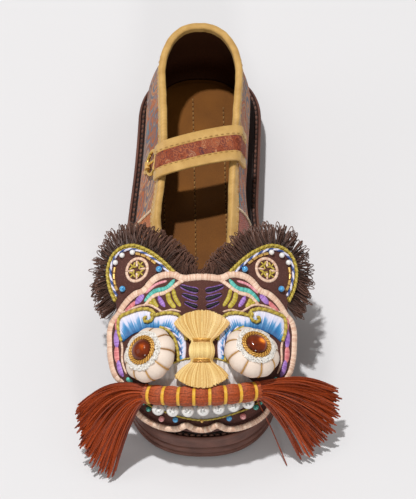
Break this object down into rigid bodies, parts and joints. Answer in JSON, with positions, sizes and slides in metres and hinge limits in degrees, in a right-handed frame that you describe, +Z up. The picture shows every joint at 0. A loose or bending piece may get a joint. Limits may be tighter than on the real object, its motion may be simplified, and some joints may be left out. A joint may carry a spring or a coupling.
{
  "type": "embroidered flat shoe",
  "caption": "Flat strap shoe with a thick grooved sole, a low cloth upper bound in gold, a buckled instep strap and a stuffed, embroidered animal face with ears and tassels on the toe.",
  "frame": {"origin": "On the floor under the forefoot tread, halfway along the sole's length.", "axes": "+Z up, toe towards -Y, heel towards +Y, medial (big-toe) side towards +X."},
  "size_m": [0.1482, 0.2706, 0.0816],
  "materials": {
    "sole": "matt moulded brown",
    "brocade": "woven brocade",
    "insole": "tan leather",
    "gold_tape": "gold bias tape",
    "strap_brocade": "woven brocade with gold edges",
    "brass": "polished brass",
    "felt": "brown felt, embroidered",
    "fringe_thread": "looped dark brown thread",
    "brow_satin": "satin stitch, lavender to blue",
    "eye_satin": "stuffed cream satin",
    "gold_braid": "twisted gold braid",
    "amber_glass": "polished amber",
    "nose_silk": "straw-gold silk thread",
    "rust_thread": "silky rust thread",
    "gold_wrap": "couched gold thread",
    "pearl": "imitation pearl"
  },
  "bodies": {
    "root": {"outsole": "sole", "upper": "brocade", "insole": "insole", "binding": "gold_tape", "strap": "strap_brocade", "buckle": "brass", "face_panel": "felt", "ear_medial": "felt", "ear_lateral": "felt", "ear_fringe_medial": "fringe_thread", "ear_fringe_lateral": "fringe_thread", "brow_medial": "brow_satin", "brow_lateral": "brow_satin", "eye_medial": "eye_satin", "eye_lateral": "eye_satin", "iris_ring_medial": "gold_braid", "iris_ring_lateral": "gold_braid", "iris_bead_medial": "amber_glass", "iris_bead_lateral": "amber_glass", "nose_bow": "nose_silk", "mouth_roll": "rust_thread", "mouth_wrap_0": "gold_wrap", "mouth_wrap_1": "gold_wrap", "mouth_wrap_2": "gold_wrap", "mouth_wrap_3": "gold_wrap", "mouth_wrap_4": "gold_wrap", "mouth_wrap_5": "gold_wrap", "mouth_wrap_6": "gold_wrap", "mouth_wrap_7": "gold_wrap", "tooth_0": "pearl", "tooth_1": "pearl", "tooth_2": "pearl", "tooth_3": "pearl", "tooth_4": "pearl", "tooth_5": "pearl", "tooth_6": "pearl", "tassel_medial": "rust_thread", "tassel_lateral": "rust_thread"}
  },
  "joints": []
}
